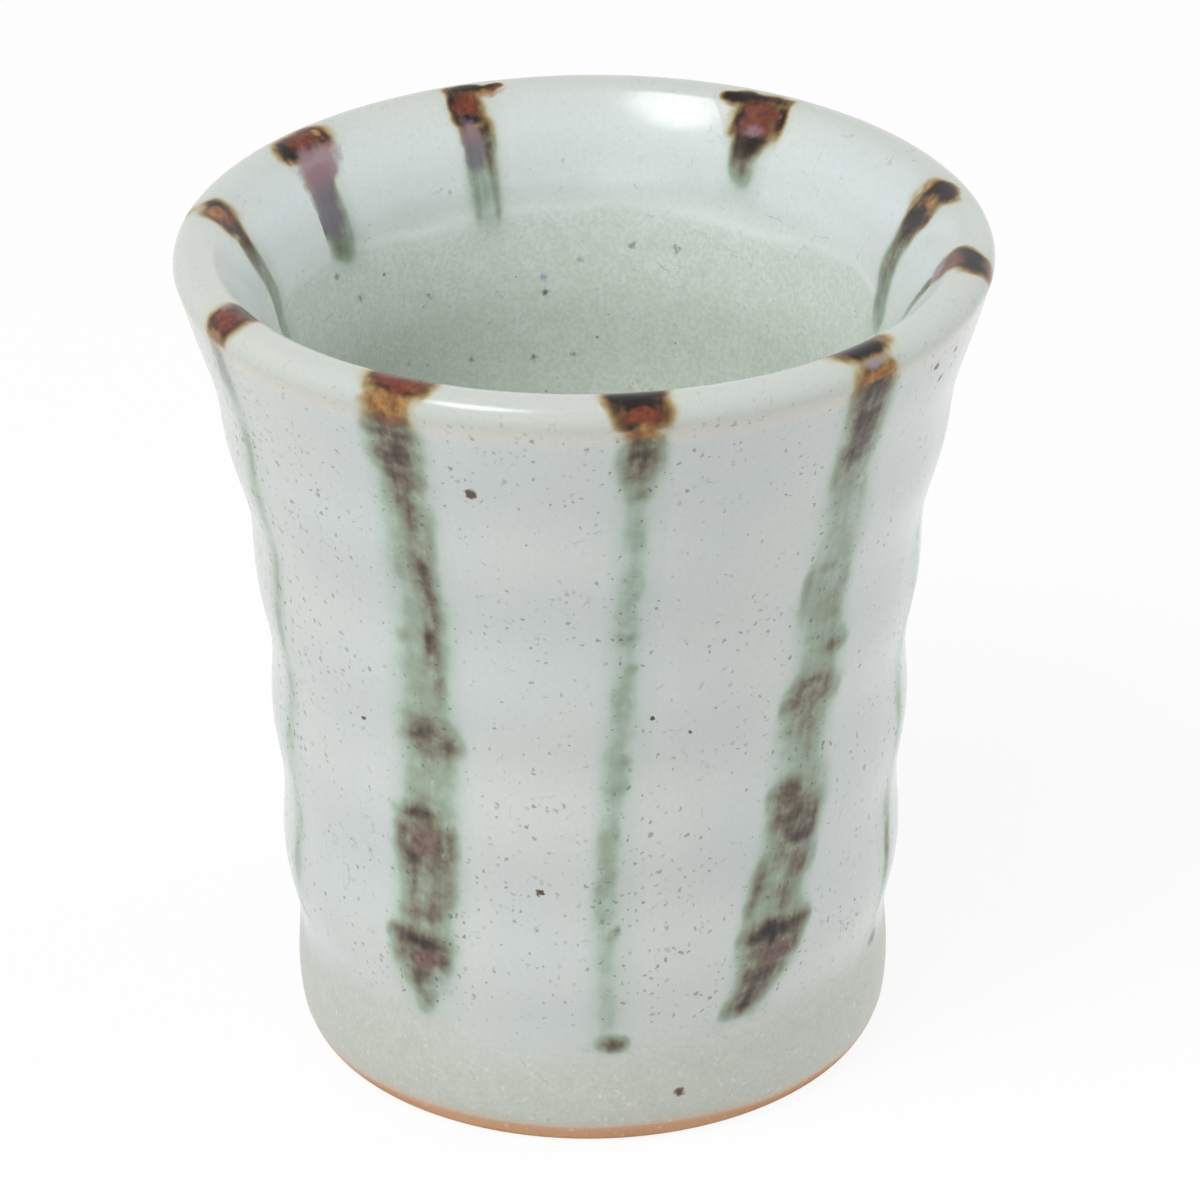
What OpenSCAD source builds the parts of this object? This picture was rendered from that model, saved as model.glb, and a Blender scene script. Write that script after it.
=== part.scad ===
// Yunomi tea cup: a thrown stoneware body, two coats of glaze and ten brushed iron strokes.
// Millimetres, +Z up. The origin is the centre of the circle that the foot stands on,
// and -Y is the front of the cup.

/* [Cup] */
// Height over the glazed lip
cup_h = 90.7; // [80:0.1:110]
// Diameter across the glazed lip, at its widest
rim_d = 84; // [78:0.5:100]
// Diameter of the glazed wall carried down to the table
foot_d = 63.7; // [56:0.1:66]
// Diameter that the wall's straight taper alone reaches at the lip
taper_d = 71.4; // [67:0.1:74]
// Height where the wall starts to flare outwards
flare_z = 42; // [25:1:60]

/* [Wall and floor] */
// Thickness of the clay wall, taken at the table
wall_t = 3; // [2.4:0.1:4.5]
// Thickness of clay that the straight taper reaches at the lip
wall_top_t = 4; // [3:0.1:5.5]
// Height of the clay floor inside, above the table
floor_z = 7.7; // [6:0.1:12]
// Radius of the corner between the inside wall and the floor
corner_r = 10; // [4:0.5:16]

/* [Throwing rings] */
// Distance between the rings left by the potter's fingers
ring_pitch = 16.2; // [8:0.1:24]
// Height of the rings on the outside
ring_h = 0.3; // [0:0.05:0.6]
// Height of the rings on the inside
ring_in_h = 0.15; // [0:0.05:0.4]
// Height of one ring's crest above the table
ring_z = 21; // [12:0.5:28]

/* [Clay lip] */
// How far the lip's outer slope reaches in
lip_out = 1.8; // [1.2:0.1:3]
// How far the lip's outer slope climbs
lip_rise = 1.5; // [0.8:0.1:3]
// How far the lip's inner rounding reaches in
lip_in = 1.9; // [1:0.1:2.6]
// How far the lip's inner rounding drops
lip_drop = 1.8; // [1:0.1:3]
// Angle that the lip's inner rounding turns through
lip_turn = 48; // [40:1:60]

/* [Foot] */
// Radius of the foot's outer edge
edge_r = 1.2; // [0.6:0.1:1.8]
// Width of the ring that touches the table, with its rounded edge
foot_ring_w = 6; // [4:0.1:10]
// Depth of the turned recess under the cup
recess_h = 2.4; // [1.8:0.1:3.5]
// Radius of the recess's inner corner
recess_r = 1.5; // [0.5:0.1:1.7]

/* [Glaze] */
// Thickness of the first coat
base_t = 0.3; // [0.2:0.05:0.5]
// Thickness of the second coat
dip_t = 0.4; // [0.2:0.05:0.6]
// Height of the bare clay line above the table
clay_line_z = 2.2; // [1.9:0.1:5]
// Height of the second coat's edge outside
dip_line_z = 11.5; // [7:0.1:13.4]
// Depth of the second coat's edge inside, below the lip
dip_depth = 12; // [6:0.1:17]

/* [Iron strokes] */
// Thickness of a stroke on the glaze
stroke_t = 0.12; // [0.08:0.01:0.3]
// Width of the narrow strokes where they cross the lip
narrow_w = 3.8; // [3:0.1:6]
// Width of the wide strokes where they cross the lip
wide_w = 5.6; // [4:0.1:8]
// How much wider a wide stroke would be at the table
spread_w = 2.6; // [0:0.1:4]
// How far sideways a stroke would be carried at the table
stroke_lean = 5; // [0:0.1:7]
// Height where a stroke ends outside
stroke_end_z = 14; // [10:0.1:30]
// Depth below the lip where a stroke ends inside
stroke_depth = 14; // [8:0.1:25]

/* [Hidden] */
$fa = 2;
$fs = 0.5;
coat_t = base_t + dip_t;
rim_r = rim_d / 2 - coat_t;
lip_top_z = cup_h - coat_t;
lip_z = lip_top_z - lip_rise;
dip_in_z = cup_h - dip_depth;
corner_z = floor_z + corner_r;

// Steps along each stretch of the wall's outline, and over a coat's thin edge
band_steps = 6;
wall_steps = 50;
lip_steps = 7;
dip_steps = 8;
inside_steps = 30;
corner_steps = 8;
feather_steps = 2;

// Straight runs that follow the bend of a stroke's two sides
side_steps = 8;

// One row for each stroke, counted from the front towards +X: its angle at the lip, whether it
// is wide, how late it bends away, and its lean, its end's height outside and its depth inside
// as shares of the usual ones
strokes = [
    [8, false, 1, 0.7, 0.88, 0.9],
    [43, true, 3, 2.5, 1, 1.1],
    [78, false, 1.6, 1.2, 0.88, 0.9],
    [104, true, 1.5, 1.2, 1.05, 1.15],
    [149, true, 2, 1.4, 1, 0.65],
    [199, false, 1.5, 1, 1.15, 1],
    [231, true, 2, 1.6, 1, 0.95],
    [260, false, 1.5, 1, 1.05, 1.1],
    [299, false, 1, 1.4, 1.15, 1],
    [333, true, 2.2, 1, 1, 1.1],
];

// Half the sector that a stroke is cut from, in degrees, and where the cut starts from the axis
half_sector = 30;
cut_from = 12;

function stroke_name(i) = str("iron_stroke_", i < 9 ? "0" : "", i + 1);

// A wall's radius at a height: a straight taper from the table, and a flare up to its top
function flare(z, top_z, power) = pow(max(0, (z - flare_z) / (top_z - flare_z)), power);
function wall_r(z, low_r, taper_r, top_r, top_z, power) =
    low_r + (taper_r - low_r) * z / top_z + (top_r - taper_r) * flare(z, top_z, power);

// A throwing ring's height, which fades out at the lip
function ring(z, crest_z) =
    cos(360 * (z - crest_z) / ring_pitch) * min(1, max(0, (lip_z - z) / ring_pitch));

// The outside flares with the square of the height
out_power = 2;
out_low_r = foot_d / 2 - coat_t;
out_taper_r = taper_d / 2 - coat_t;
in_low_r = out_low_r - wall_t;
in_taper_r = out_taper_r - wall_top_t;

// The inside flares as sharply as it must to run into the slope of the lip's inner rounding
in_top_r = rim_r - lip_out - lip_in * sin(lip_turn);
lip_in_z = lip_top_z - lip_drop * (1 - cos(lip_turn));
in_slope = lip_in / (lip_drop * tan(lip_turn)) - (in_taper_r - in_low_r) / lip_in_z;
in_power = in_slope * (lip_in_z - flare_z) / (in_top_r - in_taper_r);

function out_r(z) =
    wall_r(z, out_low_r, out_taper_r, rim_r, lip_z, out_power) + ring_h * ring(z, ring_z);
function in_r(z) =
    wall_r(z, in_low_r, in_taper_r, in_top_r, lip_in_z, in_power)
    + ring_in_h * ring(z, ring_z + ring_pitch / 2);

corner_x = in_r(corner_z) - corner_r;

// The glazed outline of the clay, from the bare line up, over the lip and down to the floor's middle
clay = concat(
    [for (i = [0 : band_steps - 1])
        let (z = clay_line_z + (dip_line_z - clay_line_z) * i / band_steps) [out_r(z), z]],
    [for (i = [0 : wall_steps])
        let (z = dip_line_z + (lip_z - dip_line_z) * i / wall_steps) [out_r(z), z]],
    [for (i = [1 : lip_steps])
        let (a = 90 * i / lip_steps) [rim_r - lip_out * (1 - cos(a)), lip_z + lip_rise * sin(a)]],
    [for (i = [1 : lip_steps])
        let (a = lip_turn * i / lip_steps)
            [rim_r - lip_out - lip_in * sin(a), lip_top_z - lip_drop * (1 - cos(a))]],
    [for (i = [1 : dip_steps])
        let (z = lip_in_z - (lip_in_z - dip_in_z) * i / dip_steps) [in_r(z), z]],
    [for (i = [1 : inside_steps])
        let (z = dip_in_z - (dip_in_z - corner_z) * i / inside_steps) [in_r(z), z]],
    [for (i = [1 : corner_steps])
        let (a = 90 * i / corner_steps)
            [corner_x + corner_r * cos(a), corner_z - corner_r * sin(a)]],
    [[0, floor_z]]);

// Places along that outline, counted in steps
lip_step = band_steps + wall_steps;
inside_step = lip_step + 2 * lip_steps;
dip_end_step = inside_step + dip_steps;
last_step = len(clay) - 1;
function outside_at(z) = z < dip_line_z
    ? band_steps * (z - clay_line_z) / (dip_line_z - clay_line_z)
    : band_steps + wall_steps * (z - dip_line_z) / (lip_z - dip_line_z);
function inside_at(z) = z > dip_in_z
    ? inside_step + dip_steps * (lip_in_z - z) / (lip_in_z - dip_in_z)
    : dip_end_step + inside_steps * (dip_in_z - z) / (dip_in_z - corner_z);

// The way out of the clay at each step, square to its outline
function way_out(i) =
    let (run = clay[min(i + 1, last_step)] - clay[max(i - 1, 0)]) [run.y, -run.x] / norm(run);
outward = [for (i = [0 : last_step]) way_out(i)];

// A layer's thickness thins to nothing over its last steps
function feather(steps_in) = sqrt(min(1, max(0, steps_in) / feather_steps));

base_face = [for (i = [0 : last_step]) clay[i] + outward[i] * base_t * feather(i)];
glaze_face = [for (i = [0 : last_step])
    base_face[i] + outward[i] * dip_t * feather(min(i - band_steps, dip_end_step - i))];

// A point between two steps of an outline, and the stretch of steps between two such points
function at(face, x) =
    let (i = floor(x), part = x - i)
        part == 0 ? face[i] : face[i] * (1 - part) + face[i + 1] * part;
function stations(from, to) =
    concat([from], [for (i = [floor(from) + 1 : ceil(to) - 1]) i], [to]);

function backwards(list) = [for (i = [len(list) - 1 : -1 : 0]) list[i]];
function without_ends(list) = [for (i = [1 : len(list) - 2]) list[i]];

// Thrown and turned stoneware, bare at the foot, with a recess turned under it
module clay_body() {
    edge_x = out_r(edge_r) - edge_r;
    recess_x = out_r(edge_r) - foot_ring_w;
    corner_mid = [recess_x - recess_r, recess_h - recess_r];
    recess = concat(
        [[0, recess_h]],
        [for (i = [0 : corner_steps])
            let (a = 90 - 90 * i / corner_steps) corner_mid + recess_r * [cos(a), sin(a)]],
        [[recess_x, 0]]);
    foot_edge = [for (i = [0 : corner_steps])
        let (a = 90 * i / corner_steps) [edge_x + edge_r * sin(a), edge_r * (1 - cos(a))]];
    color("#b98a63") rotate_extrude() polygon(concat(recess, foot_edge, clay));
}

// The first coat, poured inside and dipped outside, down to the bare clay line
module base_glaze() {
    under = [for (i = [last_step : -1 : 1]) clay[i]];
    color("#a3ad9f") rotate_extrude() polygon(concat(base_face, under));
}

// The second coat, from dipping the cup rim-down, which air kept from running further inside
module dip_glaze() {
    steps = [for (i = [band_steps : dip_end_step]) i];
    top = [for (i = steps) glaze_face[i]];
    under = [for (i = backwards(without_ends(steps))) base_face[i]];
    color("#c6cecd") rotate_extrude() polygon(concat(top, under));
}

// One brush stroke of iron pigment, from inside the cup over the lip and down the outside
module iron_stroke(i) {
    angle = strokes[i][0];
    wide = strokes[i][1];
    bend = strokes[i][2];
    lean = stroke_lean * strokes[i][3];
    from = outside_at(stroke_end_z * strokes[i][4]);
    to = inside_at(cup_h - stroke_depth * strokes[i][5]);
    steps = stations(from, to);
    top = [for (x = steps)
        at(glaze_face, x) + at(outward, x) * stroke_t * feather(min(x - from, to - x))];
    under = [for (x = backwards(without_ends(steps))) at(glaze_face, x)];
    top_z = cup_h + 2 * stroke_t;
    function side(part, hand) =
        [hand * (wide ? wide_w + spread_w * part : narrow_w) / 2 - lean * pow(part, bend),
         top_z * (1 - part)];
    left = [for (n = [0 : side_steps]) side(n / side_steps, -1)];
    right = [for (n = [side_steps : -1 : 0]) side(n / side_steps, 1)];
    color("#4e4033") rotate(angle) intersection() {
        rotate_extrude(angle = 2 * half_sector, start = 270 - half_sector)
            polygon(concat(top, under));
        translate([0, -cut_from, 0]) rotate([90, 0, 0]) linear_extrude(rim_d / 2)
            polygon(concat(left, right));
    }
}

clay_body();
base_glaze();
dip_glaze();
for (i = [0 : len(strokes) - 1])
    iron_stroke(i);
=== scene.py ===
import math
from bisect import bisect_left

import bmesh
import bpy
from mathutils import Matrix, Vector, noise


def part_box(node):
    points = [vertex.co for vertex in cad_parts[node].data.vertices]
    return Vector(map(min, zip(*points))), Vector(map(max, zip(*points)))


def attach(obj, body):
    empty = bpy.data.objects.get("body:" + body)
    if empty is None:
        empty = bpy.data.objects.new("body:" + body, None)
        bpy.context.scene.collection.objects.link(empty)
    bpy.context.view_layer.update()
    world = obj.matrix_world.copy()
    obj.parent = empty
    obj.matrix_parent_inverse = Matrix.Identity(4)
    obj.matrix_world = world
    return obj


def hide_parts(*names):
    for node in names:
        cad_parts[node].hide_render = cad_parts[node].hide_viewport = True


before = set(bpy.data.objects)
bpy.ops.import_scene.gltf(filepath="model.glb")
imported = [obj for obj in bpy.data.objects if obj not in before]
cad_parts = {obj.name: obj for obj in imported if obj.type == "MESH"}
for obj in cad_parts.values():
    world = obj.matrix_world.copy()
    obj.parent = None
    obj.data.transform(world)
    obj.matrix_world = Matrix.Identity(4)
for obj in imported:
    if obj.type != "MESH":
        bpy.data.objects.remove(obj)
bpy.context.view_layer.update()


# The body: stoneware thrown on a wheel, with the rings of the potter's fingers left in its wall.
# It is turned over when stiff to trim the foot and its recess, and only the foot stays bare clay.
# Sizes are in millimetres, and each finished mesh is brought to metres.
MM = 0.001
cup_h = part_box("dip_glaze")[1][2] / MM
rim_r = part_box("clay_body")[1][0] / MM
lip_top_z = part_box("clay_body")[1][2] / MM
foot_r = 31.15
taper_r = 35.0
flare_z = 42
wall_t = 3
wall_top_t = 4
floor_z = 7.7
corner_r = 10
ring_pitch = 16.2
ring_h = 0.3
ring_in_h = 0.15
ring_z = 21
lip_out = 1.8
lip_rise = 1.5
lip_in = 1.9
lip_drop = 1.8
lip_turn = math.radians(48)
foot_edge_r = 1.2
wheel_steps = 192
crease = math.radians(50)
glaze_start = math.radians(42)

lip_z = lip_top_z - lip_rise
lip_mid_r = rim_r - lip_out
corner_z = floor_z + corner_r
in_low_r = foot_r - wall_t
in_taper_r = taper_r - wall_top_t
in_top_r = lip_mid_r - lip_in * math.sin(lip_turn)
lip_in_z = lip_top_z - lip_drop * (1 - math.cos(lip_turn))
in_slope = lip_in / (lip_drop * math.tan(lip_turn)) - (in_taper_r - in_low_r) / lip_in_z
in_power = in_slope * (lip_in_z - flare_z) / (in_top_r - in_taper_r)


def clamp(value, low=0.0, high=1.0):
    return max(low, min(high, value))


def ease(value, low, high):
    """0 at low and 1 at high, or the other way round, with a soft start and end."""
    share = clamp((value - low) / (high - low))
    return share * share * (3 - 2 * share)


def flared_r(z, low_r, straight_r, top_r, top_z, power):
    """A wall's radius: a straight taper from the table, and a flare up to its top."""
    flare = max(0, (z - flare_z) / (top_z - flare_z)) ** power
    return low_r + (straight_r - low_r) * z / top_z + (top_r - straight_r) * flare


def ring(z, crest_z):
    """A throwing ring's height, from -1 to 1, which fades out at the lip."""
    return math.cos(math.tau * (z - crest_z) / ring_pitch) * clamp((lip_z - z) / ring_pitch)


def outer_r(z):
    return flared_r(z, foot_r, taper_r, rim_r, lip_z, 2) + ring_h * ring(z, ring_z)


def inner_r(z):
    wall = flared_r(z, in_low_r, in_taper_r, in_top_r, lip_in_z, in_power)
    return wall + ring_in_h * ring(z, ring_z + ring_pitch / 2)


def stretch(first, last, steps):
    """Even steps from first up to, but without, last."""
    return [first + (last - first) * step / steps for step in range(steps)]


# The clay's glazed outline, as radius and height: up the outside, over the lip, down to the floor
corner_x = inner_r(corner_z) - corner_r
lip_outer = [(lip_mid_r + lip_out * math.cos(a), lip_z + lip_rise * math.sin(a))
             for a in stretch(0, math.pi / 2, 10)]
lip_inner = [(lip_mid_r - lip_in * math.sin(a), lip_top_z - lip_drop * (1 - math.cos(a)))
             for a in stretch(0, lip_turn, 8)]
corner = [(corner_x + corner_r * math.cos(a), corner_z - corner_r * math.sin(a))
          for a in stretch(0, math.pi / 2, 14)]
edge_x = outer_r(foot_edge_r) - foot_edge_r
outside = [(edge_x + foot_edge_r * math.sin(a), foot_edge_r * (1 - math.cos(a)))
           for a in stretch(glaze_start, math.pi / 2, 6)]
outside += [(outer_r(z), z) for z in stretch(foot_edge_r, lip_z, 112)]
inside = [(inner_r(z), z) for z in stretch(lip_in_z, corner_z, 84)]
floor_run = [(x, floor_z) for x in stretch(corner_x, 0, 12)] + [(0, floor_z)]
clay_face = outside + lip_outer + lip_inner + inside + corner + floor_run
lip_at = len(outside) + len(lip_outer)

# How far each point lies from the top of the lip: above zero outside, below zero inside
climb = [0.0]
for here, there in zip(clay_face, clay_face[1:]):
    climb.append(climb[-1] + math.dist(here, there))
downs = [climb[lip_at] - run for run in climb]
bare_down = downs[0]


def way_out(index):
    """The direction out of the clay at a point of its outline, square to it."""
    r0, z0 = clay_face[max(index - 1, 0)]
    r1, z1 = clay_face[min(index + 1, len(clay_face) - 1)]
    run = math.hypot(r1 - r0, z1 - z0)
    return (z1 - z0) / run, (r0 - r1) / run


outward = [way_out(index) for index in range(len(clay_face))]


def on_wall(down, lift=0.0):
    """Radius and height of the place that far from the lip, lifted off the clay."""
    reach = clamp(bare_down - down, 0, climb[-1])
    after = clamp(bisect_left(climb, reach), 1, len(climb) - 1)
    share = (reach - climb[after - 1]) / (climb[after] - climb[after - 1])
    here, there = clay_face[after - 1], clay_face[after]
    out0, out1 = outward[after - 1], outward[after]
    r, z = (a + (b - a) * share for a, b in zip(here, there))
    out_r, out_z = (a + (b - a) * share for a, b in zip(out0, out1))
    return max(0.0, r + out_r * lift), z + out_z * lift


def down_at(z, side):
    """How far from the lip a height is, outside (side 1) or inside (side -1)."""
    near = downs[:lip_at] if side > 0 else downs[lip_at:]
    return min(near, key=lambda down: abs(on_wall(down)[1] - z))


def hand_made(angle, r, z):
    """Puts a point of the turned shape where a hand-thrown cup has it: a little out of round."""
    share = z / cup_h
    oval = 0.003 * math.cos(2 * (angle - 0.6)) + 0.0015 * math.cos(3 * angle + 1.1)
    r = r * (1 + oval * share)
    z = z + 0.25 * math.cos(2 * angle + 0.5) * share ** 8
    return Vector((r * math.sin(angle), -r * math.cos(angle), z)) * MM


def angle_of(place):
    """The angle round the cup: nought at the front, growing towards +X."""
    return math.atan2(place.x, -place.y)


def finish_piece(name, bm, material, node):
    """Makes a finished mesh a piece of the cup that stands for its CAD node."""
    for face in bm.faces:
        face.smooth = True
    for edge in bm.edges:
        edge.smooth = edge.calc_face_angle(0.0) < crease
    mesh = bpy.data.meshes.new(name)
    bm.to_mesh(mesh)
    bm.free()
    mesh.materials.append(material)
    piece = bpy.data.objects.new(name, mesh)
    bpy.context.collection.objects.link(piece)
    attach(piece, "root")
    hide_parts(node)
    return piece


def wheel_spin(bm, chain, closed):
    """Spins a chain of vertices once round the cup's axis and closes what it makes."""
    pairs = zip(chain, chain[1:] + chain[:1] if closed else chain[1:])
    edges = [bm.edges.new(pair) for pair in pairs]
    bmesh.ops.spin(bm, geom=chain + edges, cent=(0, 0, 0), axis=(0, 0, 1),
                   angle=math.tau, steps=wheel_steps, use_merge=True)
    bmesh.ops.remove_doubles(bm, verts=bm.verts, dist=1e-5)
    bmesh.ops.recalc_face_normals(bm, faces=bm.faces)


def put(tree, kind, sockets, **settings):
    """Adds a node, sets it up and fills its inputs with values or links."""
    made = tree.nodes.new("ShaderNode" + kind)
    for key, value in settings.items():
        setattr(made, key, value)
    for key, value in sockets.items():
        if isinstance(value, bpy.types.NodeSocket):
            tree.links.new(value, made.inputs[key])
        else:
            made.inputs[key].default_value = value
    return made


def calc(tree, operation, *values):
    return put(tree, "Math", dict(enumerate(values)), operation=operation).outputs[0]


def fade(tree, value, low, high, to_low=0.0, to_high=1.0):
    """A soft step from to_low at low to to_high at high."""
    sockets = {"Value": value, "From Min": low, "From Max": high, "To Min": to_low, "To Max": to_high}
    return put(tree, "MapRange", sockets, interpolation_type="SMOOTHSTEP").outputs[0]


def blend(tree, factor, under, over):
    return put(tree, "Mix", {0: factor, 6: under, 7: over}, data_type="RGBA").outputs[2]


def stretched(tree, place, scale):
    return put(tree, "Mapping", {"Vector": place, "Scale": scale}).outputs[0]


def mottle(tree, place, scale, detail=2.0):
    return put(tree, "TexNoise", {"Vector": place, "Scale": scale, "Detail": detail}).outputs[0]


def colour(red, green, blue):
    """A colour as it is seen, 0 to 255, in the linear values that a shader takes."""
    seen = [value / 255 for value in (red, green, blue)]
    return [v / 12.92 if v <= 0.04045 else ((v + 0.055) / 1.055) ** 2.4 for v in seen] + [1.0]


def new_material(name):
    """An empty material, its tree and its place on the piece in millimetres."""
    material = bpy.data.materials.new(name)
    material.use_nodes = True
    tree = material.node_tree
    tree.nodes.clear()
    place = put(tree, "TexCoord", {}).outputs["Object"]
    return material, tree, stretched(tree, place, (1 / MM, 1 / MM, 1 / MM))


def finish_material(tree, base, roughness, height, shine=0.5):
    """Ends a material in one shader, with the surface's fine relief given in millimetres."""
    bump = put(tree, "Bump", {"Height": height, "Distance": MM, "Strength": 1.0})
    shader = put(tree, "BsdfPrincipled", {"Base Color": base, "Roughness": roughness,
                                         "Specular IOR Level": shine, "Normal": bump.outputs[0]})
    put(tree, "OutputMaterial", {"Surface": shader.outputs[0]})


foot_ring_w = 6
recess_h = 2.4
recess_corner_r = 1.5
inner_edge_r = 0.6
groove_w = 3.1
groove_h = 0.16
recess_x = outer_r(foot_edge_r) - foot_ring_w
recess_mid_x = recess_x - recess_corner_r
recess_mid_z = recess_h - recess_corner_r
foot_outline = [(x, recess_h) for x in stretch(0, recess_mid_x, 70)]
foot_outline += [(recess_mid_x + recess_corner_r * math.sin(a), recess_mid_z + recess_corner_r * math.cos(a))
                 for a in stretch(0, math.pi / 2, 8)]
foot_outline += [(recess_x + inner_edge_r * (1 - math.cos(a)), inner_edge_r * (1 - math.sin(a)))
                 for a in stretch(0, math.pi / 2, 6)]
foot_outline += [(x, 0) for x in stretch(recess_x + inner_edge_r, edge_x, 8)]
foot_outline += [(edge_x + foot_edge_r * math.sin(a), foot_edge_r * (1 - math.cos(a)))
                 for a in stretch(0, glaze_start, 5)]

body = bmesh.new()
outline = foot_outline + clay_face[:6] + clay_face[6::4] + clay_face[-1:]
wheel_spin(body, [body.verts.new((0, r, z)) for r, z in outline], False)
for vert in body.verts:
    angle = angle_of(vert.co)
    r = math.hypot(vert.co.x, vert.co.y)
    in_recess = ease(r, recess_mid_x, recess_mid_x - 2) * (vert.co.z < floor_z / 2)
    spiral = math.sin(math.pi * (r / groove_w + angle / math.tau)) ** 2
    turned_z = vert.co.z + groove_h * spiral * in_recess
    vert.co = hand_made(angle, r, turned_z)

clay, tree, place = new_material("bare_stoneware")
height_above = put(tree, "SeparateXYZ", {0: place}).outputs[2]
cloud = mottle(tree, place, 0.12, 3)
grit = put(tree, "TexVoronoi", {"Vector": place, "Scale": 1.3})
grit_seed = put(tree, "SeparateColor", {0: grit.outputs["Color"]}).outputs[0]
grit_size = calc(tree, "MULTIPLY", calc(tree, "SUBTRACT", grit_seed, 0.62), 0.7)
grain = fade(tree, calc(tree, "SUBTRACT", grit.outputs["Distance"], grit_size), 0.0, -0.12)
lines = mottle(tree, stretched(tree, place, (0.05, 0.05, 3.0)), 1.0, 2)
base = blend(tree, cloud, colour(203, 163, 126), colour(188, 142, 102))
base = blend(tree, fade(tree, height_above, 1.0, 2.2, 0.0, 0.6), base, colour(196, 138, 92))
base = blend(tree, calc(tree, "MULTIPLY", lines, 0.3), base, colour(150, 98, 64))
base = blend(tree, calc(tree, "MULTIPLY", grain, 0.65), base, colour(96, 66, 48))
dust = mottle(tree, place, 2.6, 3)
base = blend(tree, fade(tree, dust, 0.58, 0.75, 0.0, 0.5), base, colour(224, 190, 152))
relief = calc(tree, "MULTIPLY_ADD", dust, 0.06, calc(tree, "MULTIPLY", lines, 0.05))
relief = calc(tree, "MULTIPLY_ADD", grain, 0.04, relief)
finish_material(tree, base, fade(tree, cloud, 0.3, 0.7, 0.72, 0.9), relief)
finish_piece("thrown_body", body, clay, "clay_body")


# The first coat: a thin, matt, greenish glaze poured inside and dipped outside over the raw clay.
# It stops in a soft, slightly wavy bead just above the table, where the foot was wiped clean.
base_t = 0.3
dip_t = 0.4
dip_line_z = 11.5
dip_depth = 12
sink = 0.015
bead_w = 1.8
edge_w = 4.0
dip_out_down = down_at(dip_line_z, 1)
dip_in_down = down_at(cup_h - dip_depth, -1)


def wave(angle, seed, size):
    """A slow, uneven wave round the cup, as a wet edge has."""
    round_cup = Vector((math.sin(angle), math.cos(angle), seed)) * 1.7
    return size * (noise.noise(round_cup) + 0.5 * noise.noise(round_cup * 2.3))


def wiped_gap(angle, down):
    """How far above the first coat's lower edge a place is: it was wiped more in front and behind."""
    wiped = 0.75 + 0.5 * math.cos(2 * angle) + wave(angle, 3, 0.35)
    return bare_down - down - wiped


def base_lift(angle, down):
    """How thick the first coat is at a place: it sinks a hair into the clay where it has been wiped off."""
    if bare_down - down > 5:
        return base_t
    return (base_t + sink) * ease(wiped_gap(angle, down), -0.2, bead_w) - sink


def dip_gap(angle, down):
    """How far a place is from the nearer wavy edge of the second coat: the lower one is flatter."""
    from_low = 0.45 * (dip_out_down + wave(angle, 1, 1.2) - down)
    from_deep = down - dip_in_down - wave(angle, 2, 1.0)
    return min(from_low, from_deep)


def dip_lift(angle, down):
    """How thick the second coat is at a place."""
    return dip_t * ease(dip_gap(angle, down), 0, edge_w)


def coat_mesh(tops, unders, lift_at):
    """Spins a coat as a closed shell and lays it on the wall, with its face at lift_at(angle, down, top)."""
    bm = bmesh.new()
    down_layer = bm.verts.layers.float.new("down")
    top_layer = bm.verts.layers.float.new("top")
    edge_layer = bm.verts.layers.float.new("edge")
    chain = []
    for down, top in [(d, 1.0) for d in tops] + [(d, 0.0) for d in unders]:
        r, z = on_wall(down, top * 0.2)
        vert = bm.verts.new((0, r, z))
        vert[down_layer] = down
        vert[top_layer] = top
        chain.append(vert)
    wheel_spin(bm, chain, True)
    for vert in bm.verts:
        angle = angle_of(vert.co)
        lift = lift_at(angle, vert[down_layer], vert[top_layer])
        vert[edge_layer] = ease(wiped_gap(angle, vert[down_layer]), 2.6, 0)
        vert.co = hand_made(angle, *on_wall(vert[down_layer], lift))
    return bm


def base_coat_lift(angle, down, top):
    return base_lift(angle, down) * top - 2 * sink * (1 - top)


# Single iron spots that burnt through the glaze: angle, height, radius, outside (1) or inside (-1)
iron_spots = [(-16.4, 80.3, 0.75, 1), (-16.3, 79.6, 0.7, 1), (-9.1, 31.8, 0.52, 1), (16.2, 5.9, 0.8, 1),
              (-42.7, 48.1, 0.32, 1), (17.2, 50.1, 0.32, 1), (10.5, 52.7, 0.3, 1),
              (58, 85.6, 0.6, 1), (61, 83, 0.5, 1), (64, 85, 0.4, 1),
              (130, 60, 0.7, 1), (215, 38, 0.8, 1), (-172, 70.1, 0.72, -1), (-169.2, 62.3, 0.72, -1),
              (170.2, 74.5, 0.66, -1), (-179.2, 73.1, 0.66, -1), (-177.5, 62, 0.6, -1),
              (-124.5, 77.4, 0.7, -1), (-129.5, 74, 0.7, -1), (-146.8, 71.6, 0.65, -1),
              (-141, 65, 0.6, -1), (-155.8, 62.8, 0.66, -1), (161.2, 74.9, 0.6, -1)]

fired = bpy.data.node_groups.new("fired_glaze", "ShaderNodeTree")
fired.interface.new_socket("Place", in_out="INPUT", socket_type="NodeSocketVector")
fired.interface.new_socket("Down", in_out="INPUT", socket_type="NodeSocketFloat")
fired.interface.new_socket("Edge", in_out="INPUT", socket_type="NodeSocketFloat")
for name, kind in (("Color", "Color"), ("Roughness", "Float"), ("Height", "Float"), ("Fleck", "Float")):
    fired.interface.new_socket(name, in_out="OUTPUT", socket_type="NodeSocket" + kind)
wet = fired.nodes.new("NodeGroupInput")
place, down, low_end = wet.outputs[0], wet.outputs[1], wet.outputs[2]

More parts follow.
